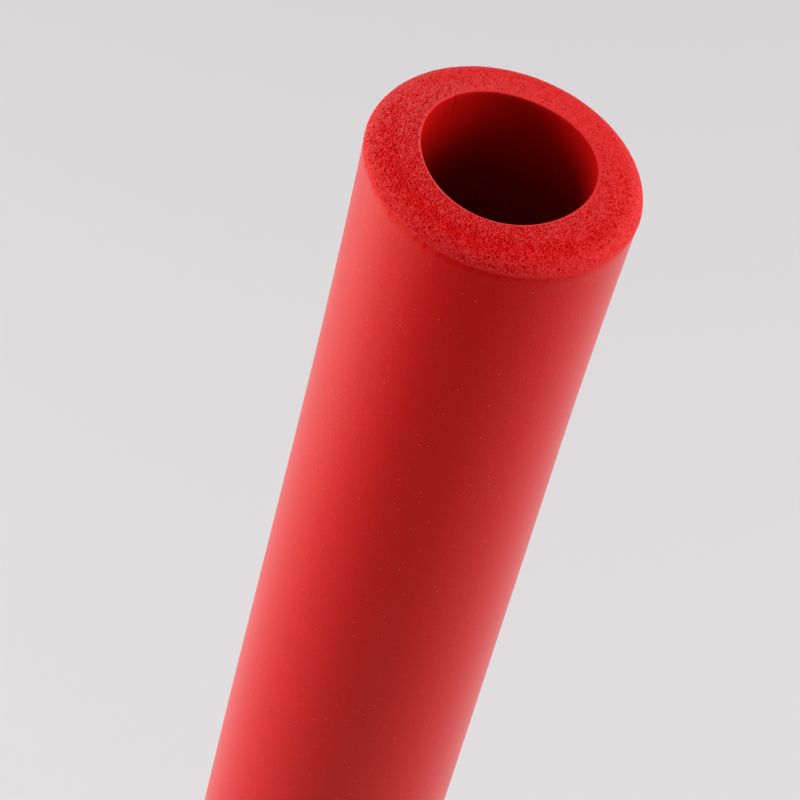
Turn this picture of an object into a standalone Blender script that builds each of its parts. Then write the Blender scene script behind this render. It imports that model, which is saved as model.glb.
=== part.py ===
"""Hollow foam tube, modelled upright on its lower end.

The tube is one extruded length of closed-cell rubber foam with a through bore.
Both ends are cut square. The cut face is flat next to the bore, and its outer part
rolls over into the side of the tube. The origin is the centre of the lower end
plane, and +Z runs along the bore.
"""

import math

import bmesh
import bpy
from mathutils import Vector

MM = 0.001

# Driving dimensions
BORE_DIAMETER = 25.4 * MM
WALL_THICKNESS = 7.3 * MM
LENGTH = 500.0 * MM

# Shape of both ends, measured from the bore edge and from the end plane
BORE_EDGE_ROUND = 0.25 * MM
FLAT_RING_WIDTH = 2.5 * MM
ROLLOVER_DEPTH = 3.4 * MM

# Fineness of the solid
SEGMENTS_AROUND = 96
SEGMENTS_EDGE_ROUND = 3
SEGMENTS_ROLLOVER = 7
SHARP_ANGLE = math.radians(40.0)

# Linear colour and finish of the foam
FOAM_RED = (0.50, 0.020, 0.018, 1.0)
FOAM_ROUGHNESS = 0.6

# Worked out from the driving dimensions
BORE_RADIUS = BORE_DIAMETER / 2
OUTER_RADIUS = BORE_RADIUS + WALL_THICKNESS
FLAT_RING_RADIUS = BORE_RADIUS + FLAT_RING_WIDTH
ROLLOVER_WIDTH = OUTER_RADIUS - FLAT_RING_RADIUS


def clear_scene():
    """Removes every object that is already in the scene."""
    for old_object in list(bpy.data.objects):
        bpy.data.objects.remove(old_object, do_unlink=True)


def foam_material():
    """Plain red foam with a satin skin."""
    material = bpy.data.materials.new("foam")
    material.use_nodes = True
    shader = material.node_tree.nodes["Principled BSDF"]
    shader.inputs["Base Color"].default_value = FOAM_RED
    shader.inputs["Roughness"].default_value = FOAM_ROUGHNESS
    shader.inputs["Metallic"].default_value = 0.0
    material.diffuse_color = FOAM_RED
    return material


def quarter_turn(steps):
    """Angles from 0 to 90 degrees, both included."""
    return [math.pi / 2 * step / steps for step in range(steps + 1)]


def end_profile():
    """One end as (radius, depth below the end plane), from the bore out to the side."""
    edge_round = [
        (
            BORE_RADIUS + BORE_EDGE_ROUND * (1 - math.cos(angle)),
            BORE_EDGE_ROUND * (1 - math.sin(angle)),
        )
        for angle in quarter_turn(SEGMENTS_EDGE_ROUND)
    ]
    rollover = [
        (
            FLAT_RING_RADIUS + ROLLOVER_WIDTH * math.sin(angle),
            ROLLOVER_DEPTH * (1 - math.cos(angle)),
        )
        for angle in quarter_turn(SEGMENTS_ROLLOVER)
    ]
    return edge_round + rollover


def tube_section():
    """The closed outline of the wall in the XZ plane, up the outer side and down the bore."""
    lower = end_profile()
    upper = [(radius, LENGTH - depth) for radius, depth in reversed(lower)]
    return lower + upper


def turned_mesh(name, section):
    """A closed mesh made by turning a closed section through 360 degrees about Z."""
    shape = bmesh.new()
    corners = [shape.verts.new((radius, 0.0, height)) for radius, height in section]
    edges = [
        shape.edges.new((corner, corners[(index + 1) % len(corners)]))
        for index, corner in enumerate(corners)
    ]
    bmesh.ops.spin(
        shape,
        geom=corners + edges,
        cent=Vector((0.0, 0.0, 0.0)),
        axis=Vector((0.0, 0.0, 1.0)),
        angle=2 * math.pi,
        steps=SEGMENTS_AROUND,
        use_merge=True,
    )
    bmesh.ops.recalc_face_normals(shape, faces=shape.faces)
    mesh = bpy.data.meshes.new(name)
    shape.to_mesh(mesh)
    shape.free()
    mesh.shade_smooth()
    mesh.set_sharp_from_angle(angle=SHARP_ANGLE)
    return mesh


def foam_tube():
    """The whole tube: foam, outer skin and bore skin are one moulded piece."""
    tube = bpy.data.objects.new("foam_tube", turned_mesh("foam_tube", tube_section()))
    tube.data.materials.append(foam_material())
    bpy.context.collection.objects.link(tube)
    return tube


clear_scene()
foam_tube()
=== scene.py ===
"""Looks of the hollow foam tube: one closed mesh with real cut cells on both ends.

The tube stands upright on the floor, as in the frame. Lengths are in millimetres
until a mesh is made, and in metres after that.
"""

import math
import random

import bmesh
import bpy
import numpy as np
from mathutils import Matrix, Vector, noise
from mathutils.geometry import delaunay_2d_cdt


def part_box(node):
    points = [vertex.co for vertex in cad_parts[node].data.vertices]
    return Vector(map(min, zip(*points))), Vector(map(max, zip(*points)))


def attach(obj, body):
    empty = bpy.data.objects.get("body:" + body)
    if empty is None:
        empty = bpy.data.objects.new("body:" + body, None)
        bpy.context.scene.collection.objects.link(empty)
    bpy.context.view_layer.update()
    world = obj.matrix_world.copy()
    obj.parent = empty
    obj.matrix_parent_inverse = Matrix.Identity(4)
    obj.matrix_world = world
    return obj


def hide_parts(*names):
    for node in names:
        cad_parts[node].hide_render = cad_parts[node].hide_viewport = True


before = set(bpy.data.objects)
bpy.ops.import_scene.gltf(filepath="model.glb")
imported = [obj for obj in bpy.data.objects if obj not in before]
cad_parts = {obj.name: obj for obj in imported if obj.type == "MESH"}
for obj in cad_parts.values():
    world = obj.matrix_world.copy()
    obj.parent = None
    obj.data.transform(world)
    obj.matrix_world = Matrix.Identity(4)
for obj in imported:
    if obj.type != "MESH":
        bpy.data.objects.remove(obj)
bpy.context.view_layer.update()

MM = 0.001
TURN = 2 * math.pi

# ---------------------------------------------------------------- tube sizes, in mm
TUBE_LOW, TUBE_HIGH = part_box("foam_tube")
LENGTH = (TUBE_HIGH.z - TUBE_LOW.z) / MM
OUTER_RADIUS = (TUBE_HIGH.x - TUBE_LOW.x) / 2 / MM
BORE_RADIUS = 12.7
LIP_ROUND = 0.25
LIP_RADIUS = BORE_RADIUS + LIP_ROUND
FLAT_RADIUS = 15.2
ROLL_WIDTH = OUTER_RADIUS - FLAT_RADIUS
ROLL_DEPTH = 3.45
BORDER_TURN = 1.45  # radians of the roll-over at which the cut ends and the skin starts

# The upper end's rim bulges a little and is a little oval
RIM_BULGE = 0.12
RIM_OVAL = 0.32
RIM_LONG_AXIS = math.radians(160)
RIM_BULGE_DEPTH = 14.0

# The bore sits a little off centre at the upper end and is faintly three-sided there
BORE_OFFSET = 0.06
BORE_LOBE = 0.27
BORE_LOBE_ANGLE = math.radians(143)

# The side is a little slimmer below the rim and a little fuller further down: depth of
# its middle, reach either way and rise
WAIST = (45.0, 32.0, -0.22)
SWELL = (160.0, 50.0, 0.35)
SIDE_INSET = 0.05

# Waves in the two skins: height and size
SIDE_LONG_WAVES = (0.05, 14.0)
SIDE_SHORT_WAVES = (0.012, 6.0)
SIDE_STRETCH = 4  # the long waves are that many times longer along the tube
BORE_WAVES = (0.03, 9.0)

# The upper end is cut a little off square: rise in mm per mm of x and of y
UPPER_CUT_SLOPE = (-0.044, -0.013)
SLOPE_FADE_DEPTH = 60.0

# Cells of the cut face: finer next to the bore, and coarser between these radii and out
FINE_PITCH = 0.36
COARSE_PITCH = 0.45
FINE_TO_COARSE = (14.8, 16.2)
# In pitches: from the lip to the first row of cells, between rows, from the last row to
# the border, and how far a cell may stray along its row and across it
FIRST_ROW = 0.6
ROW_STEP = 0.86
LAST_ROW = 0.5
JITTER_ALONG = 0.55
JITTER_ACROSS = 0.8  # of the jitter along the row
MISSING_SHARE = 0.05
EDGE_CLEARANCE = 0.12
MERGE_DISTANCE = 1e-6
INNER_RING_COUNT = 280
BORDER_RING_COUNT = 360
RING_TOTAL = INNER_RING_COUNT + BORDER_RING_COUNT

# Depths of the cells: they are shallower where the face rolls over, and close up in the
# band next to the skin
CELL_DEPTH = 0.125
ROLLED_DEPTH_LOSS = 0.050
ROLLED_FROM_TO = (17.0, 20.0)
DEPTH_SPREAD = 0.30
LARGEST_SIZE = 1.8  # times the usual depth
CLOSED_BAND = 0.9
CLOSED_CELL_DEPTH = 0.004
CLOSING_FROM = 0.3  # the share of closing past which a cell may be closed
CLOSING_LOSS = 0.7
FOOT_PLACE = 0.33  # of the way from a bowl's ridge to its middle
FOOT_DEPTHS = (0.65, 0.90)  # of the depth of the middle

# Ridges between the cells: how uneven their corners are, the share of corners that the
# knife tore and how much lower those are
CORNER_HEIGHTS = (-0.02, 0.01)
TORN_SHARE = 0.35
TORN_DROP = 0.06

# The mark of painted shade that darkens the insides of cells: the depth that gives 1, and its
# values at the lip, at ridges, more of it at torn ridges, and at the feet of bowls against the
# middle
FULL_PIT_SHADE_DEPTH = 0.20
LIP_PIT_SHADE = 0.3
CORNER_PIT_SHADES = (-0.1, 0.15)
TORN_PIT_SHADE = 0.35
FOOT_PIT_SHADE_SHARE = 0.85

# The mark that makes the cut paler, a paler tone with painted sheen in its swing round the
# bore: radii between which it changes, its mean and its swing round the bore, and the angle
# where it is highest; and one more patch
INNER_PALE_AND_SHEEN = (14.4, 17.2, 0.60, 0.50, math.radians(225))
OUTER_PALE_AND_SHEEN = (17.0, 18.8, 0.30, 0.25, math.radians(115))
PALE_PATCH = 0.70
PALE_PATCH_ANGLE = math.radians(168)
PALE_PATCH_WIDTH = 0.6

# How much coarser the cut is on one side of the bore: mean, swing and angle
COARSENESS = (0.74, 0.32, math.radians(245))

# Columns of the two skins
SIDE_COUNT = 180
BORE_COUNT = 180

UPPER_SEED = 3
LOWER_SEED = 11
BORE_SEED = 5
SIDE_SEED = 7


def smooth_step(low, high, value):
    """0 below low, 1 above high, and a smooth rise between them."""
    share = np.clip((np.asarray(value, float) - low) / (high - low), 0.0, 1.0)
    return share * share * (3 - 2 * share)


def bell(centre, width, value):
    """A smooth bump of height 1 at the centre."""
    return np.exp(-(((np.asarray(value, float) - centre) / width) ** 2))


def angle_gap(first, second):
    """The shortest way round from the second angle to the first, signed."""
    return (np.asarray(first, float) - second + math.pi) % TURN - math.pi


def field(points, size, seed):
    """Smooth noise from -1 to 1 at each point, with features of that size."""
    shift = Vector((seed * 17.3, seed * 5.1, seed * 9.7))
    return np.array([noise.noise(Vector(point) / size + shift) for point in points])


def ring_field(angle, height, size, seed):
    """Smooth noise that closes on itself round the tube."""
    angle, height = np.broadcast_arrays(angle, height)
    points = np.stack(
        [OUTER_RADIUS * np.cos(angle), OUTER_RADIUS * np.sin(angle), height], -1
    ).reshape(-1, 3)
    return field(points, size, seed).reshape(angle.shape)


# ---------------------------------------------------------------- the end's section
def roll_table():
    """The rolled-over part of the section: arc length, radius, depth and the normal's angle."""
    turn = np.linspace(0, math.pi / 2, 400)
    radius = FLAT_RADIUS + ROLL_WIDTH * np.sin(turn)
    depth = ROLL_DEPTH * (1 - np.cos(turn))
    steps = np.hypot(np.diff(radius), np.diff(depth))
    arc = np.concatenate([[0.0], np.cumsum(steps)])
    lean = np.arctan2(ROLL_DEPTH * np.sin(turn), ROLL_WIDTH * np.cos(turn))
    return turn, arc, radius, depth, lean


ROLL_TURN, ROLL_ARC, ROLL_R, ROLL_Z, ROLL_LEAN = roll_table()
BORDER_RADIUS = FLAT_RADIUS + float(np.interp(BORDER_TURN, ROLL_TURN, ROLL_ARC))


def section(flat_radius):
    """Radius, depth and outward normal where the end, laid flat, has that radius."""
    flat_radius = np.asarray(flat_radius, float)
    arc = flat_radius - FLAT_RADIUS
    past = np.maximum(arc - ROLL_ARC[-1], 0.0)
    radius = np.where(arc < 0, flat_radius, np.interp(arc, ROLL_ARC, ROLL_R))
    depth = np.where(arc < 0, 0.0, np.interp(arc, ROLL_ARC, ROLL_Z) + past)
    lean = np.where(arc < 0, 0.0, np.interp(arc, ROLL_ARC, ROLL_LEAN))
    return radius, depth, np.sin(lean), np.cos(lean)


# ---------------------------------------------------------------- unevenness
VALLEY_DEPTH = 0.28
VALLEY_RADIUS = 16.9
VALLEY_WANDER = 0.25
VALLEY_WIDTH = 1.1
VALLEY_ANGLE = math.radians(220)
RIDGE_HEIGHT = 0.04
RIDGE_RADIUS = 15.3
RIDGE_WIDTH = 0.6
FACE_WAVES = ((0.025, 4.0), (0.015, 1.3))  # height and size
LIP_MARGIN = 1.0
BORDER_MARGIN = 1.5


def end_relief(flat_radius, angle, seed):
    """Height of the cut face's soft unevenness: a shallow valley, a faint ridge and waves."""
    points = np.stack(
        [flat_radius * np.cos(angle), flat_radius * np.sin(angle), 0 * angle], -1
    )
    valley_share = 0.50 + 0.50 * np.cos(angle_gap(angle, VALLEY_ANGLE))
    valley_radius = VALLEY_RADIUS + VALLEY_WANDER * np.sin(2 * angle + seed)
    valley = -VALLEY_DEPTH * valley_share * bell(valley_radius, VALLEY_WIDTH, flat_radius)
    ridge = RIDGE_HEIGHT * bell(RIDGE_RADIUS, RIDGE_WIDTH, flat_radius)
    waves = sum(
        height * field(points, size, seed + k) for k, (height, size) in enumerate(FACE_WAVES)
    )
    keep = smooth_step(LIP_RADIUS, LIP_RADIUS + LIP_MARGIN, flat_radius)
    keep = keep * (1 - smooth_step(BORDER_RADIUS - BORDER_MARGIN, BORDER_RADIUS, flat_radius))
    return (valley + ridge + waves) * keep


BORDER_WAVES = ((0.12, 5.0), (0.05, 0.8))  # height and size
WANDER_WIDTH = 1.6


def border_wander(angle, seed):
    """How far the border of the cut wanders up and down the side."""
    return sum(
        height * ring_field(angle, 0.0, size, seed + 2 + k)
        for k, (height, size) in enumerate(BORDER_WAVES)
    )


# Creases in the bore's skin below the upper end: angle, strength, the depths where they
# start, are strongest and end, and width in radians
BORE_CREASES = (
    (math.radians(137.5), 0.16, -0.5, 0.5, 7.5, 0.011),
    (math.radians(145.5), 0.06, 0.5, 4.0, 9.0, 0.013),
)
# The skin steps inwards beside the first crease, and eases back round the bore
FOLD_HEIGHT = 0.15
FOLD_WIDTH = math.radians(7)
FOLD_START = BORE_CREASES[0][0] + 0.012
FOLD_STEP = 0.02
FOLD_LENGTH = 7.0
# The lip, and the cut this far out from it, follow the creases as they are at this depth
LIP_CREASE_DEPTH = 0.3
LIP_CREASE_WIDTH = 0.9


def bore_relief(angle, depth):
    """Outward shift of the upper end's bore skin: two short creases that fade downwards."""
    shift = np.zeros(np.broadcast(angle, depth).shape)
    for crease_angle, strength, start, peak, end, width in BORE_CREASES:
        along = smooth_step(start, peak, depth) * (1 - smooth_step(peak, end, depth))
        shift = shift + strength * along * bell(0.0, width, angle_gap(angle, crease_angle))
    past = np.maximum(angle_gap(angle, FOLD_START), 0.0)
    fold = smooth_step(0.0, FOLD_STEP, past) * np.exp(-past / FOLD_WIDTH)
    return shift - FOLD_HEIGHT * fold * (1 - smooth_step(0.0, FOLD_LENGTH, depth))


def put(radius, angle, depth, upper):
    """Rows of x, y, z in mm for points of either end, with the upper end's sloping cut."""
    radius, angle, depth = np.broadcast_arrays(radius, angle, depth)
    if not upper:
        return np.stack([radius * np.cos(angle), radius * np.sin(angle), depth], -1)
    bulge = RIM_BULGE + RIM_OVAL * np.cos(2 * (angle - RIM_LONG_AXIS))
    lobe = BORE_LOBE * np.cos(3 * (angle - BORE_LOBE_ANGLE))
    outside = smooth_step(FLAT_RADIUS, OUTER_RADIUS, radius)
    fade = 1 - smooth_step(0.0, SLOPE_FADE_DEPTH, depth)
    radius = radius + bulge * outside * np.exp(-depth / RIM_BULGE_DEPTH)
    radius = radius + lobe * (1 - smooth_step(BORE_RADIUS, FLAT_RADIUS, radius)) * fade
    x = radius * np.cos(angle) + BORE_OFFSET * (1 - outside) * fade
    y = radius * np.sin(angle)
    slope_x, slope_y = UPPER_CUT_SLOPE
    fall = slope_x * x + slope_y * y - OUTER_RADIUS * math.hypot(slope_x, slope_y)
    return np.stack([x, y, LENGTH - depth + fall * fade], -1)


# ---------------------------------------------------------------- cells of a cut end
def cell_pitch(flat_radius):
    """Distance between neighbouring cells: finer next to the bore."""
    coarse = float(smooth_step(*FINE_TO_COARSE, flat_radius))
    return FINE_PITCH + (COARSE_PITCH - FINE_PITCH) * coarse


def ring_points(radius, count):
    """Evenly spaced points of a circle, starting on the X axis."""
    return [
        (radius * math.cos(TURN * k / count), radius * math.sin(TURN * k / count))
        for k in range(count)
    ]


def cell_sites(draw):
    """Centres of the cells on the end laid flat, in jittered rows, with some left out."""
    sites = []
    radius = LIP_RADIUS + FIRST_ROW * FINE_PITCH
    while radius < BORDER_RADIUS - LAST_ROW * COARSE_PITCH:
        pitch = cell_pitch(radius)
        count = round(TURN * radius / pitch)
        phase = draw.random()
        for k in range(count):
            along = (k + phase + draw.uniform(-1, 1) * JITTER_ALONG) / count * TURN
            across = radius + draw.uniform(-1, 1) * JITTER_ALONG * pitch * JITTER_ACROSS
            across = max(across, LIP_RADIUS + EDGE_CLEARANCE)
            across = min(across, BORDER_RADIUS - EDGE_CLEARANCE)
            if draw.random() > MISSING_SHARE:
                sites.append((across * math.cos(along), across * math.sin(along)))
        radius += ROW_STEP * pitch
    return sites


def cell_triangles(points):
    """Delaunay triangles of the flat end, anticlockwise, without those outside the cut."""
    rings = (range(INNER_RING_COUNT), range(INNER_RING_COUNT, RING_TOTAL))
    edges = [
        (ring[k], ring[(k + 1) % len(ring)]) for ring in rings for k in range(len(ring))
    ]
    made = delaunay_2d_cdt([Vector(p) for p in points], edges, [], 0, MERGE_DISTANCE)
    triangles = made[2]
    found = []
    for a, b, c in triangles:
        if any(all(k in ring for k in (a, b, c)) for ring in rings):
            continue
        (ax, ay), (bx, by), (cx, cy) = points[a], points[b], points[c]
        turn = (bx - ax) * (cy - ay) - (by - ay) * (cx - ax)
        found.append((a, b, c) if turn > 0 else (a, c, b))
    return found


def border_share(flat_radius):
    """0 in the open cells, rising to 1 where the cut meets the skin."""
    return smooth_step(BORDER_RADIUS - CLOSED_BAND, BORDER_RADIUS, flat_radius)


def paleness_and_sheen(flat_radius, angle):
    """How pale the cut is: by the bore on one side, by the rim on another, and in a patch; its
    swings round the bore are painted sheen.
    """
    low, high, mean, swing, peak = INNER_PALE_AND_SHEEN
    inner = (1 - smooth_step(low, high, flat_radius)) * (mean + swing * np.cos(angle - peak))
    low, high, mean, swing, peak = OUTER_PALE_AND_SHEEN
    outer = smooth_step(low, high, flat_radius) * (mean + swing * np.cos(angle - peak))
    patch = PALE_PATCH * bell(0.0, PALE_PATCH_WIDTH, angle_gap(angle, PALE_PATCH_ANGLE))
    return np.clip(inner + outer + patch, 0.0, 1.0)


def coarseness(angle):
    """The cut is coarser on one side of the bore: a factor on the depth of the cells there."""
    mean, swing, peak = COARSENESS
    return mean + swing * math.cos(angle - peak)


def cell_depth(draw, flat_radius, angle):
    """Depth of one cell: cells close up towards the border and are shallower on one side."""
    size = min(draw.lognormvariate(0.0, DEPTH_SPREAD), LARGEST_SIZE)
    closed = float(border_share(flat_radius))
    if closed > CLOSING_FROM + (1 - CLOSING_FROM) * draw.random():
        return CLOSED_CELL_DEPTH
    rolled = float(smooth_step(*ROLLED_FROM_TO, flat_radius))
    depth = CELL_DEPTH - ROLLED_DEPTH_LOSS * rolled
    return depth * size * coarseness(angle) * (1 - CLOSING_LOSS * closed)


class FlatEnd:
    """A cut end laid flat: its points, their heights and their painted shade, from how deep in
    a cell each one is.

    The first points are the ring at the bore's lip and then the ring at the border.
    Then come the middles of the cells, the corners where cell walls meet, and the feet
    of the bowls.
    """

    def __init__(self, draw):
        self.draw = draw
        points = ring_points(LIP_RADIUS, INNER_RING_COUNT)
        points += ring_points(BORDER_RADIUS, BORDER_RING_COUNT)
        points += cell_sites(draw)
        self.triangles = cell_triangles(points)
        self.points = [Vector(p) for p in points]
        self.height = [0.0] * RING_TOTAL
        self.pit_shade = [LIP_PIT_SHADE] * INNER_RING_COUNT + [0.0] * BORDER_RING_COUNT
        for x, y in points[RING_TOTAL:]:
            depth = cell_depth(draw, math.hypot(x, y), math.atan2(y, x))
            self.height.append(-depth)
            self.pit_shade.append(min(1.0, depth / FULL_PIT_SHADE_DEPTH))
        self.first_corner = len(self.points)
        for triangle in self.triangles:
            self.add_corner(triangle)
        self.feet = {}

    def add(self, point, height, pit_shade):
        """One more point of the flat end."""
        self.points.append(point)
        self.height.append(height)
        self.pit_shade.append(pit_shade)

    def add_corner(self, triangle):
        """A corner of the ridges, in the middle of a triangle of cells.

        Some are torn, and more so where the cut is coarse.
        """
        draw = self.draw
        corner = sum((self.points[k] for k in triangle), Vector((0.0, 0.0))) / 3
        coarse = coarseness(math.atan2(corner.y, corner.x))
        torn = coarse * (draw.random() < TORN_SHARE * coarse)
        at_ring = sum(k < RING_TOTAL for k in triangle) >= 2
        height = 0.0 if at_ring else draw.uniform(*CORNER_HEIGHTS) - TORN_DROP * torn
        self.add(corner, height, draw.uniform(*CORNER_PIT_SHADES) + TORN_PIT_SHADE * torn)

    def foot(self, cell, number):
        """The foot of a cell's bowl under one corner of its ridge."""
        if (cell, number) not in self.feet:
            self.feet[cell, number] = len(self.points)
            ridge = self.points[self.first_corner + number]
            self.add(
                ridge.lerp(self.points[cell], FOOT_PLACE),
                self.height[cell] * self.draw.uniform(*FOOT_DEPTHS),
                self.pit_shade[cell] * FOOT_PIT_SHADE_SHARE,
            )
        return self.feet[cell, number]

    def faces(self, bowls):
        """Faces of the cells, as bowls, which get their feet here, or as plain cones."""
        left_of = {}
        for number, (a, b, c) in enumerate(self.triangles):
            for edge in ((a, b), (b, c), (c, a)):
                left_of[edge] = number
        found = []
        for (a, b), number in left_of.items():
            other = left_of.get((b, a))
            here = self.first_corner + number
            if other is None:
                found.append((a, b, here))
                continue
            there = self.first_corner + other
            if bowls and a >= RING_TOTAL:
                foot_here = self.foot(a, number)
                foot_there = self.foot(a, other)
                found.append((foot_there, there, here, foot_here))
                found.append((a, foot_there, foot_here))
            else:
                found.append((a, there, here))
        return found


# What each vertex of the mesh carries: three marks that the cut's material reads (painted shade
# in the cells, paleness with painted sheen, the closed band), whether it is a ridge's corner,
# and its x and y on the end laid flat
PIT_SHADE, PALE_AND_SHEEN, CLOSED, RIDGE, FLAT_X, FLAT_Y = range(6)
MARK_COUNT = 6


def cut_end(seed, upper):
    """One cut end: rows of vertices in mm, faces, and the vertices' marks.

    Each cell of the upper end is a bowl, and each cell of the lower end a plain cone.
    The ridges between cells run through the middles of the Delaunay triangles.
    """
    end = FlatEnd(random.Random(seed))
    faces = end.faces(bowls=upper)
    xy = np.array([tuple(p) for p in end.points])
    angle = np.arctan2(xy[:, 1], xy[:, 0])
    flat_radius = np.hypot(xy[:, 0], xy[:, 1])
    rise = np.array(end.height) + end_relief(flat_radius, angle, seed)
    if not upper:
        rise = np.minimum(rise, 0.0)
    near_border = smooth_step(BORDER_RADIUS - WANDER_WIDTH, BORDER_RADIUS, flat_radius)
    radius, depth, normal_r, normal_z = section(
        flat_radius + border_wander(angle, seed) * near_border
    )
    radius = radius + rise * normal_r
    depth = depth - rise * normal_z
    if upper:
        near_lip = 1 - smooth_step(LIP_RADIUS, LIP_RADIUS + LIP_CREASE_WIDTH, flat_radius)
        radius = radius + bore_relief(angle, LIP_CREASE_DEPTH) * near_lip
    marks = np.zeros((len(xy), MARK_COUNT))
    marks[:, PIT_SHADE] = end.pit_shade
    # The pale mark is partly a paler tone and partly painted sheen
    marks[:, PALE_AND_SHEEN] = paleness_and_sheen(flat_radius, angle)
    marks[:, CLOSED] = border_share(flat_radius)
    marks[end.first_corner : end.first_corner + len(end.triangles), RIDGE] = 1.0
    marks[:, FLAT_X : FLAT_Y + 1] = xy
    return put(radius, angle, depth, upper), faces, marks


# ---------------------------------------------------------------- the whole mesh
class Shell:
    """Vertices, faces and face materials of the mesh while it grows."""

    def __init__(self):
        self.rows = []
        self.marks = []
        self.faces = []
        self.materials = []
        self.total = 0

    def add(self, rows, marks=None):
        """Adds vertices with their marks and returns their numbers."""
        first = self.total
        self.rows.append(rows)
        self.marks.append(np.zeros((len(rows), MARK_COUNT)) if marks is None else marks)
        self.total += len(rows)
        return np.arange(first, self.total)

    def face(self, corners, material):
        """Adds one face between numbered vertices."""
        self.faces.append(tuple(int(c) for c in corners))
        self.materials.append(material)

    def join(self, one, one_angles, two, two_angles, material):
        """Closes the band between two rings, whose points may differ in number."""
        if len(one) == len(two):
            for k in range(len(one)):
                n = (k + 1) % len(one)
                self.face((one[k], one[n], two[n], two[k]), material)
            return
        i = j = 0
        while i < len(one) or j < len(two):
            next_one = one_angles[i + 1] if i + 1 < len(one) else TURN + one_angles[0]
            next_two = two_angles[j + 1] if j + 1 < len(two) else TURN + two_angles[0]
            step_one = j >= len(two) or (i < len(one) and next_one <= next_two)
            here, there = one[i % len(one)], two[j % len(two)]
            if step_one:
                self.face((here, one[(i + 1) % len(one)], there), material)
                i += 1
            else:
                self.face((here, two[(j + 1) % len(two)], there), material)
                j += 1


CUT, SIDE, BORE = 0, 1, 2
SIDE_ANGLES = np.arange(SIDE_COUNT) * TURN / SIDE_COUNT
# Depths of the rings below either end: close together near the end, and even further in
SIDE_DEPTHS = [4.6, 6.5, 10.0, 16.0, 24.0, 34.0] + [46.0 + 12.0 * k for k in range(17)]
BORE_DEPTHS = [0.7, 1.3, 2.0, 3.0, 4.2, 5.6, 7.2, 9.0, 11.5, 15.0, 20.0, 28.0, 40.0]
BORE_DEPTHS += [60.0 + 26.0 * k for k in range(8)]

# Finer columns of the bore where its creases run, in degrees
FINE_COLUMNS_START = 132.0
FINE_COLUMNS_STEP = 0.5
FINE_COLUMNS_COUNT = 40


def bore_angles():
    """Angles of the bore's columns: even, with finer ones where the creases run."""
    even = [TURN * k / BORE_COUNT for k in range(BORE_COUNT)]
    fine = [
        math.radians(FINE_COLUMNS_START + FINE_COLUMNS_STEP * k)
        for k in range(FINE_COLUMNS_COUNT)
    ]
    return np.array(sorted(set(round(a, 6) for a in even + fine)))


def height_of(depth, upper):
    """Height above the tube's foot for a depth below either end."""
    return LENGTH - depth if upper else depth


def add_end(shell, seed, upper):
    """Adds a cut end with its lip and the first skin ring, and returns the two open rings."""
    rows, faces, marks = cut_end(seed, upper)
    numbers = shell.add(rows, marks)
    for corners in faces:
        shell.face([numbers[c] for c in corners], CUT)
    lip_angles = np.arange(INNER_RING_COUNT) * TURN / INNER_RING_COUNT
    border_angles = np.arange(BORDER_RING_COUNT) * TURN / BORDER_RING_COUNT
    lip = numbers[:INNER_RING_COUNT]
    border = numbers[INNER_RING_COUNT:RING_TOTAL]

    for share in (0.5, 1.0):
        turn = math.radians(90) * share
        radius = LIP_RADIUS - LIP_ROUND * math.sin(turn)
        depth = LIP_ROUND * (1 - math.cos(turn))
        if upper:
            radius = radius + bore_relief(lip_angles, LIP_CREASE_DEPTH)
        # The lip's marks stay at 0, so its rounded cut faces take the ridges' painted highlight
        # red
        marks = np.zeros((INNER_RING_COUNT, MARK_COUNT))
        marks[:, FLAT_X] = (LIP_RADIUS - LIP_ROUND * turn) * np.cos(lip_angles)
        marks[:, FLAT_Y] = (LIP_RADIUS - LIP_ROUND * turn) * np.sin(lip_angles)
        ring = shell.add(put(radius, lip_angles, depth, upper), marks)
        shell.join(lip, lip_angles, ring, lip_angles, CUT if share < 1 else BORE)
        lip = ring
    return (lip, lip_angles), (border, border_angles)


def add_rings(shell, start, angles, depths, radius_at, upper, material):
    """Adds rings at those depths below one end, joined to the ring before them."""
    ring, ring_angles = start
    for depth in depths:
        added = shell.add(put(radius_at(angles, depth, upper), angles, depth, upper))
        shell.join(ring, ring_angles, added, angles, material)
        ring, ring_angles = added, angles
    return ring, ring_angles


def bore_radius(angles, depth, upper):
    """The bore, which is not quite even, with its creases below the upper end."""
    creases = bore_relief(angles, depth) if upper else 0.0
    rise, size = BORE_WAVES
    waves = rise * ring_field(angles, height_of(depth, upper), size, BORE_SEED)
    return BORE_RADIUS + creases + waves


def side_radius(angles, depth, upper):
    """The extruded side, which is not quite round or straight."""
    height = height_of(depth, upper)
    below_top = LENGTH - height
    swell = sum(rise * bell(middle, width, below_top) for middle, width, rise in (WAIST, SWELL))
    rise, size = SIDE_LONG_WAVES
    long_waves = rise * ring_field(angles, height / SIDE_STRETCH, size, SIDE_SEED)
    rise, size = SIDE_SHORT_WAVES
    short_waves = rise * ring_field(angles, height, size, SIDE_SEED + 1)
    return OUTER_RADIUS - SIDE_INSET + swell + (long_waves + short_waves)


def mark_ridges(mesh, ridges):
    """Keeps the ridges between cells crisp while the bowls stay smooth."""
    ends = np.zeros(len(mesh.edges) * 2, np.int32)
    mesh.edges.foreach_get("vertices", ends)
    sharp = mesh.attributes.new("sharp_edge", "BOOLEAN", "EDGE")
    sharp.data.foreach_set("value", ridges[ends].reshape(-1, 2).all(axis=1))


# Where each part of the surface lies on its map: left, bottom,
# width and height, in a square of side 1
UPPER_CUT_PLACE = (0.005, 0.385, 0.61, 0.61)
LOWER_CUT_PLACE = (0.63, 0.63, 0.365, 0.365)
SIDE_PLACE = (0.005, 0.125, 0.99, 0.25)
BORE_PLACE = (0.005, 0.005, 0.99, 0.11)


def put_on_map(place, across, up):
    """Map positions for shares of a place's width and height."""
    left, bottom, width, height = place
    return np.stack([left + width * across, bottom + height * up], -1)


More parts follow.
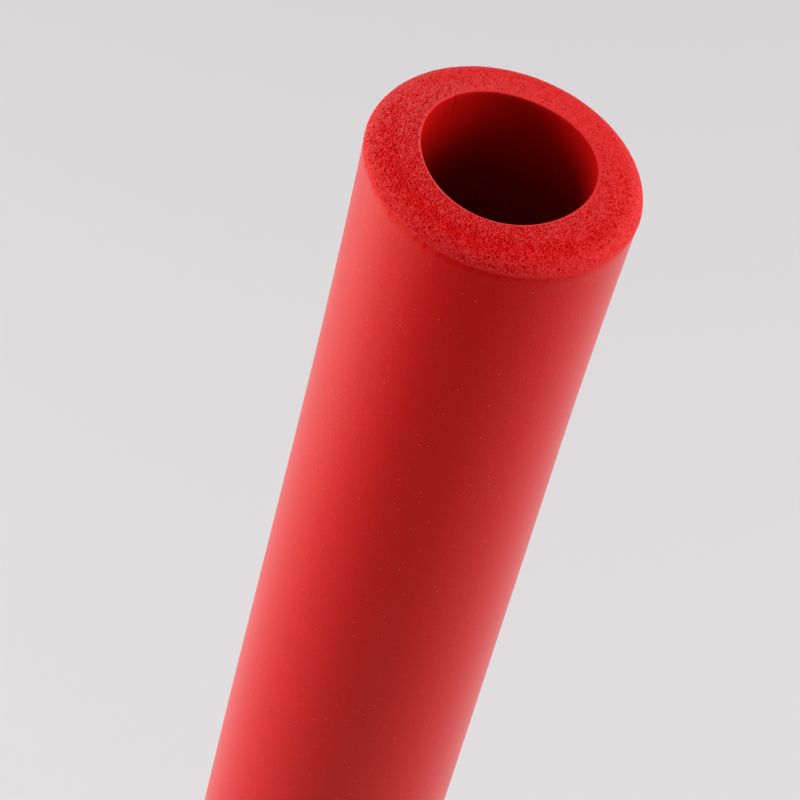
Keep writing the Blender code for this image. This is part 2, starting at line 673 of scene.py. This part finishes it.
def lay_out(mesh, flat):
    """Lays the surface on its map: both cut ends flat, and both skins unrolled.

    Takes each vertex's x and y on the end laid flat. The map has one spot for each
    corner of each face.
    """
    corner = np.zeros(len(mesh.loops), np.int32)
    mesh.loops.foreach_get("vertex_index", corner)
    start = np.zeros(len(mesh.polygons), np.int32)
    mesh.polygons.foreach_get("loop_start", start)
    face = np.repeat(np.arange(len(start)), np.diff(np.append(start, len(corner))))
    kind = np.zeros(len(start), np.int32)
    mesh.polygons.foreach_get("material_index", kind)
    place = np.zeros(len(mesh.vertices) * 3, np.float32)
    mesh.vertices.foreach_get("co", place)
    place = place.reshape(-1, 3)[corner] / MM

    # Turns round the tube; a face across the seam runs on past 1, so all are scaled down
    around = np.arctan2(place[:, 1], place[:, 0]) / TURN + 0.5
    spread = np.maximum.reduceat(around, start) - np.minimum.reduceat(around, start)
    around = around + ((spread > 0.5)[face] & (around < 0.5))
    around = around / (1 + 2 / SIDE_COUNT)
    along = np.clip(place[:, 2] / LENGTH, 0.0, 1.0)
    flat = 0.5 + 0.5 * flat[corner] / BORDER_RADIUS
    upper = (place[start, 2] > LENGTH / 2)[face]

    spots = put_on_map(SIDE_PLACE, along, around)
    in_bore = kind[face] == BORE
    spots[in_bore] = put_on_map(BORE_PLACE, along, around)[in_bore]
    for on_end, target in ((upper, UPPER_CUT_PLACE), (~upper, LOWER_CUT_PLACE)):
        chosen = (kind[face] == CUT) & on_end
        spots[chosen] = put_on_map(target, flat[:, 0], flat[:, 1])[chosen]
    layer = mesh.uv_layers.new(name="OFBake")
    layer.data.foreach_set("uv", spots.astype(np.float32).ravel())


def tube_mesh():
    """The closed mesh of the tube."""
    shell = Shell()
    angles = bore_angles()
    bore_rings, side_rings = [], []
    for upper, seed in ((True, UPPER_SEED), (False, LOWER_SEED)):
        bore_start, side_start = add_end(shell, seed, upper)
        bore_rings.append(
            add_rings(shell, bore_start, angles, BORE_DEPTHS, bore_radius, upper, BORE)
        )
        side_rings.append(
            add_rings(shell, side_start, SIDE_ANGLES, SIDE_DEPTHS, side_radius, upper, SIDE)
        )
    for rings, material in ((bore_rings, BORE), (side_rings, SIDE)):
        (one, one_angles), (two, two_angles) = rings
        shell.join(one, one_angles, two, two_angles, material)

    mesh = bpy.data.meshes.new("foam_tube_body")
    rows = np.concatenate(shell.rows) * MM
    mesh.from_pydata(rows.tolist(), [], shell.faces)
    mesh.polygons.foreach_set("material_index", shell.materials)
    marks = np.concatenate(shell.marks).astype(np.float32)
    for column, name in ((PIT_SHADE, "pit_shade"), (PALE_AND_SHEEN, "pale_and_sheen"), (CLOSED, "closed")):
        layer = mesh.attributes.new(name, "FLOAT", "POINT")
        layer.data.foreach_set("value", np.ascontiguousarray(marks[:, column]))
    shape = bmesh.new()
    shape.from_mesh(mesh)
    bmesh.ops.recalc_face_normals(shape, faces=shape.faces)
    shape.to_mesh(mesh)
    shape.free()
    mesh.shade_smooth()
    mark_ridges(mesh, marks[:, RIDGE] > 0)
    lay_out(mesh, marks[:, FLAT_X : FLAT_Y + 1])
    return mesh


# ---------------------------------------------------------------- materials
SPECULAR_TINT = (1.0, 0.02, 0.01)
CUT_SPECULAR = 0.07
CUT_ROUGHNESS = 0.5
SKIN_SPECULAR = 0.24
SKIN_ROUGHNESS = 0.3
BORE_SPECULAR = 0.03
BORE_ROUGHNESS = 0.6

# The cut's, the skin's and the bore's plain reds, and those of their patterns: the cut's ridge
# reds are painted highlight and its pit red painted shade, the bore's reds are painted shade
# and its end red painted light
CUT_RED = (0.80, 0.014, 0.015)
RIDGE_HIGHLIGHT_RED = (0.90, 0.046, 0.048)
PALE_RIDGE_HIGHLIGHT_RED = (0.88, 0.105, 0.107)
PIT_SHADE_RED = (0.68, 0.003, 0.004)
CLOSED_RED = (0.82, 0.024, 0.022)
SKIN_RED = (0.755, 0.002, 0.001)
SKIN_LIGHT_RED = (0.82, 0.002, 0.001)
SKIN_DARK_RED = (0.69, 0.002, 0.001)
SPECK_RED = (0.90, 0.14, 0.11)
BORE_SHADE_RED = (0.41, 0.002, 0.002)
BORE_DEEP_SHADE_RED = (0.28, 0.002, 0.002)
BORE_DEEP_SHADE_LINE_RED = (0.24, 0.002, 0.002)
BORE_END_LIGHT_RED = (0.67, 0.007, 0.006)

# Fine noise in the three materials: size of its features, height and strength of its bump
CUT_BUMP = (0.09, 0.03, 0.5)
PEEL_BUMP = (0.4, 0.04, 1.0)
LINES_BUMP = (0.8, 0.03, 0.6)
LINES_SQUEEZE = 0.05  # of the bore's noise along the tube, which draws it out into lines
NOISE_DETAIL = 3.0
# Painted shade: the inside of a cell reaches its full darker red from this mark on
FULL_INSIDE_SHADE = 0.5  # the pit mark from which the inside of a cell has its full red
GRAIN_SIZE = 0.3
GRAIN_FROM_TO = (0.3, 0.7)  # noise between which the skin turns from light to dark
LINES_FROM_TO = (0.35, 0.65)  # noise between which the bore's lines turn darker
SPECK_PITCH = 1.5
SPECK_RADII = (0.11, 0.07)  # from nothing to the full speck, in pitches
SPECK_CHANCES = (0.40, 0.80)  # random values at which a speck is absent and strongest
SPECK_STRENGTH = 0.75
# Painted light near the bore's upper end, painted shade further in
BORE_END_LIGHT_FROM_TO = (16.0, 1.0)  # depths between which the bore turns paler towards its end


def new_material(name, base, roughness, specular):
    """A Principled material and its node tree, shader and object coordinates."""
    material = bpy.data.materials.new(name)
    material.use_nodes = True
    tree = material.node_tree
    shader = tree.nodes["Principled BSDF"]
    shader.inputs["Base Color"].default_value = (*base, 1.0)
    shader.inputs["Roughness"].default_value = roughness
    shader.inputs["Specular IOR Level"].default_value = specular
    shader.inputs["Specular Tint"].default_value = (*SPECULAR_TINT, 1.0)
    where = tree.nodes.new("ShaderNodeTexCoord").outputs["Object"]
    return material, tree, shader, where


def noise_node(tree, where, size_mm):
    """Noise with features of that size; the output runs from 0 to 1."""
    node = tree.nodes.new("ShaderNodeTexNoise")
    tree.links.new(where, node.inputs["Vector"])
    node.inputs["Scale"].default_value = 1.0 / (size_mm * MM)
    node.inputs["Detail"].default_value = NOISE_DETAIL
    return node.outputs["Fac"]


def map_range(tree, value, low, high, to_low, to_high):
    """The value carried from one range to another, clamped."""
    node = tree.nodes.new("ShaderNodeMapRange")
    tree.links.new(value, node.inputs["Value"])
    for name, number in zip(
        ("From Min", "From Max", "To Min", "To Max"), (low, high, to_low, to_high)
    ):
        node.inputs[name].default_value = number
    return node.outputs["Result"]


def blend_colours(tree, share, first, second):
    """A colour between two, each a colour or a socket."""
    node = tree.nodes.new("ShaderNodeMix")
    node.data_type = "RGBA"
    tree.links.new(share, node.inputs["Factor"])
    for name, colour in (("A", first), ("B", second)):
        socket = next(s for s in node.inputs if s.name == name and s.type == "RGBA")
        if isinstance(colour, tuple):
            socket.default_value = (*colour, 1.0)
        else:
            tree.links.new(colour, socket)
    return next(s for s in node.outputs if s.type == "RGBA")


def multiply(tree, first, second):
    """The product of two values."""
    node = tree.nodes.new("ShaderNodeMath")
    node.operation = "MULTIPLY"
    tree.links.new(first, node.inputs[0])
    tree.links.new(second, node.inputs[1])
    return node.outputs["Value"]


def bump(tree, height, distance_mm, strength):
    """A bump node's normal."""
    node = tree.nodes.new("ShaderNodeBump")
    tree.links.new(height, node.inputs["Height"])
    node.inputs["Distance"].default_value = distance_mm * MM
    node.inputs["Strength"].default_value = strength
    return node.outputs["Normal"]


def mark_node(tree, name):
    """The value of one of the mesh's marks."""
    node = tree.nodes.new("ShaderNodeAttribute")
    node.attribute_name = name
    return node.outputs["Fac"]


def cut_material():
    """Freshly cut foam: painted highlights in pale or pink-red on the ridges, and painted shade
    as a deeper red down in the cells.
    """
    material, tree, shader, where = new_material(
        "foam_cut", CUT_RED, CUT_ROUGHNESS, CUT_SPECULAR
    )
    closed = mark_node(tree, "closed")
    # The ridges' paler, pinker reds are a painted highlight
    ridge = blend_colours(tree, mark_node(tree, "pale_and_sheen"), RIDGE_HIGHLIGHT_RED, PALE_RIDGE_HIGHLIGHT_RED)
    # Deeper in the cells the red darkens: painted shade
    inside_shade = map_range(tree, mark_node(tree, "pit_shade"), 0.0, FULL_INSIDE_SHADE, 0.0, 1.0)
    colour = blend_colours(tree, inside_shade, ridge, PIT_SHADE_RED)
    colour = blend_colours(tree, closed, colour, CLOSED_RED)
    tree.links.new(colour, shader.inputs["Base Color"])
    roughness = map_range(tree, closed, 0.0, 1.0, CUT_ROUGHNESS, SKIN_ROUGHNESS)
    tree.links.new(roughness, shader.inputs["Roughness"])
    size, height, strength = CUT_BUMP
    fine = noise_node(tree, where, size)
    tree.links.new(bump(tree, fine, height, strength), shader.inputs["Normal"])
    return material


def skin_material():
    """The satin outer skin: faint grain, faint orange peel and small pale specks."""
    material, tree, shader, where = new_material(
        "foam_skin", SKIN_RED, SKIN_ROUGHNESS, SKIN_SPECULAR
    )
    grain = map_range(tree, noise_node(tree, where, GRAIN_SIZE), *GRAIN_FROM_TO, 0.0, 1.0)
    colour = blend_colours(tree, grain, SKIN_LIGHT_RED, SKIN_DARK_RED)
    specks = tree.nodes.new("ShaderNodeTexVoronoi")
    tree.links.new(where, specks.inputs["Vector"])
    specks.inputs["Scale"].default_value = 1.0 / (SPECK_PITCH * MM)
    spot = map_range(tree, specks.outputs["Distance"], *SPECK_RADII, 0.0, 1.0)
    share = map_range(tree, specks.outputs["Color"], *SPECK_CHANCES, 0.0, SPECK_STRENGTH)
    colour = blend_colours(tree, multiply(tree, spot, share), colour, SPECK_RED)
    tree.links.new(colour, shader.inputs["Base Color"])
    size, height, strength = PEEL_BUMP
    peel = noise_node(tree, where, size)
    tree.links.new(bump(tree, peel, height, strength), shader.inputs["Normal"])
    return material


def bore_material():
    """The bore's skin: matt, a darker red as painted shade, paler near the upper end as painted
    light, with faint long lines.
    """
    material, tree, shader, where = new_material(
        "foam_bore_skin", BORE_SHADE_RED, BORE_ROUGHNESS, BORE_SPECULAR
    )
    stretch = tree.nodes.new("ShaderNodeMapping")
    stretch.inputs["Scale"].default_value = (1.0, 1.0, LINES_SQUEEZE)
    tree.links.new(where, stretch.inputs["Vector"])
    size, height, strength = LINES_BUMP
    lines = noise_node(tree, stretch.outputs["Vector"], size)
    darker = map_range(tree, lines, *LINES_FROM_TO, 0.0, 1.0)
    deep_shade = blend_colours(tree, darker, BORE_DEEP_SHADE_RED, BORE_DEEP_SHADE_LINE_RED)
    apart = tree.nodes.new("ShaderNodeSeparateXYZ")
    tree.links.new(where, apart.inputs["Vector"])
    # Painted light: the bore turns paler towards its upper end, where light reaches in
    low, high = (height_of(depth, True) * MM for depth in BORE_END_LIGHT_FROM_TO)
    end_light = map_range(tree, apart.outputs["Z"], low, high, 0.0, 1.0)
    colour = blend_colours(tree, end_light, deep_shade, BORE_END_LIGHT_RED)
    tree.links.new(colour, shader.inputs["Base Color"])
    tree.links.new(bump(tree, lines, height, strength), shader.inputs["Normal"])
    return material


def foam_tube():
    """The tube as one piece in place of its CAD solid."""
    tube = bpy.data.objects.new("foam_tube_body", tube_mesh())
    bpy.context.scene.collection.objects.link(tube)
    for material in (cut_material(), skin_material(), bore_material()):
        tube.data.materials.append(material)
    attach(tube, "root")
    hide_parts("foam_tube")


# ---------------------------------------------------------------- studio
CAMERA_LENS = 148.7
CAMERA_SENSOR = 36.0
CAMERA_DISTANCE = 461.9 * MM
CAMERA_ELEVATION = math.radians(43.97)
CAMERA_ROLL = math.radians(15.99)
CAMERA_YAW = math.radians(1.87)
CAMERA_PITCH = math.radians(-4.21)
CAMERA_NEAR = 0.01
CAMERA_FAR = 100.0


def camera():
    """Looks down at the middle of the upper end's bore, and then turns it off centre."""
    data = bpy.data.cameras.new("camera")
    data.lens = CAMERA_LENS
    data.sensor_width = CAMERA_SENSOR
    data.clip_start = CAMERA_NEAR
    data.clip_end = CAMERA_FAR
    eye = bpy.data.objects.new("camera", data)
    bpy.context.scene.collection.objects.link(eye)
    drop = OUTER_RADIUS * math.hypot(*UPPER_CUT_SLOPE)
    target = Vector((0.0, 0.0, (LENGTH - drop) * MM))
    back = Vector((0.0, -math.cos(CAMERA_ELEVATION), math.sin(CAMERA_ELEVATION)))
    aim = Matrix.Rotation(math.pi / 2 - CAMERA_ELEVATION, 4, "X")
    aim = aim @ Matrix.Rotation(CAMERA_ROLL, 4, "Z")
    aim = aim @ Matrix.Rotation(CAMERA_YAW, 4, "Y")
    aim = aim @ Matrix.Rotation(CAMERA_PITCH, 4, "X")
    eye.matrix_world = Matrix.Translation(target + back * CAMERA_DISTANCE) @ aim
    bpy.context.scene.camera = eye


FLOOR_SIZE = 30.0  # metres
FLOOR_COLOUR = (0.795, 0.774, 0.796)
FLOOR_ROUGHNESS = 0.9
FLOOR_SPECULAR = 0.1


def floor():
    """A wide, plain, pale floor."""
    bpy.ops.mesh.primitive_plane_add(size=FLOOR_SIZE)
    plane = bpy.context.object
    plane.name = "floor"
    material = bpy.data.materials.new("floor")
    material.use_nodes = True
    shader = material.node_tree.nodes["Principled BSDF"]
    shader.inputs["Base Color"].default_value = (*FLOOR_COLOUR, 1.0)
    shader.inputs["Roughness"].default_value = FLOOR_ROUGHNESS
    shader.inputs["Specular IOR Level"].default_value = FLOOR_SPECULAR
    plane.data.materials.append(material)


# Soft lights aimed at the tube near its upper end: name, degrees from the camera's side
# towards +X, degrees above that point, distance, width and height in metres, watts and
# colour
WARM_WHITE = (1.0, 0.985, 0.955)
WHITE = (1.0, 1.0, 1.0)
WARM = (1.0, 0.95, 0.82)
LIGHTS = (
    ("left", -90, 12, 1.8, 0.9, 0.9, 26.3, WARM_WHITE),
    ("left_low", -80, -37, 0.53, 0.7, 0.22, 0.50, WARM),
    ("right", 90, 32, 1.8, 0.9, 0.9, 17.0, WHITE),
    ("right_back", 115, 12, 1.8, 0.9, 0.9, 10.5, WHITE),
    ("top", 0, 90, 1.8, 0.9, 0.9, 10.3, WHITE),
)
LIGHT_TARGET_HEIGHT = 0.45
SURROUND_COLOUR = (0.97, 0.98, 1.0)
SURROUND_STRENGTH = 0.12


def softbox(name, azimuth, elevation, distance, width, height, power, colour):
    """A soft light that faces the tube near its upper end, and that the camera can't see."""
    data = bpy.data.lights.new(name, "AREA")
    data.shape = "RECTANGLE"
    data.size = width
    data.size_y = height
    data.energy = power
    data.color = colour
    light = bpy.data.objects.new(name, data)
    bpy.context.scene.collection.objects.link(light)
    turn = math.radians(azimuth)
    rise = math.radians(elevation)
    away = Vector(
        (math.sin(turn) * math.cos(rise), -math.cos(turn) * math.cos(rise), math.sin(rise))
    )
    light.location = Vector((0.0, 0.0, LIGHT_TARGET_HEIGHT)) + away * distance
    light.rotation_mode = "QUATERNION"
    light.rotation_quaternion = away.to_track_quat("Z", "Y")
    light.visible_camera = False


def studio():
    """Soft lights and a dim, even surround."""
    for light in LIGHTS:
        softbox(*light)
    world = bpy.data.worlds.new("studio")
    world.use_nodes = True
    background = world.node_tree.nodes["Background"]
    background.inputs["Color"].default_value = (*SURROUND_COLOUR, 1.0)
    background.inputs["Strength"].default_value = SURROUND_STRENGTH
    bpy.context.scene.world = world
    bpy.context.scene.view_settings.view_transform = "Standard"


foam_tube()
camera()
floor()
studio()
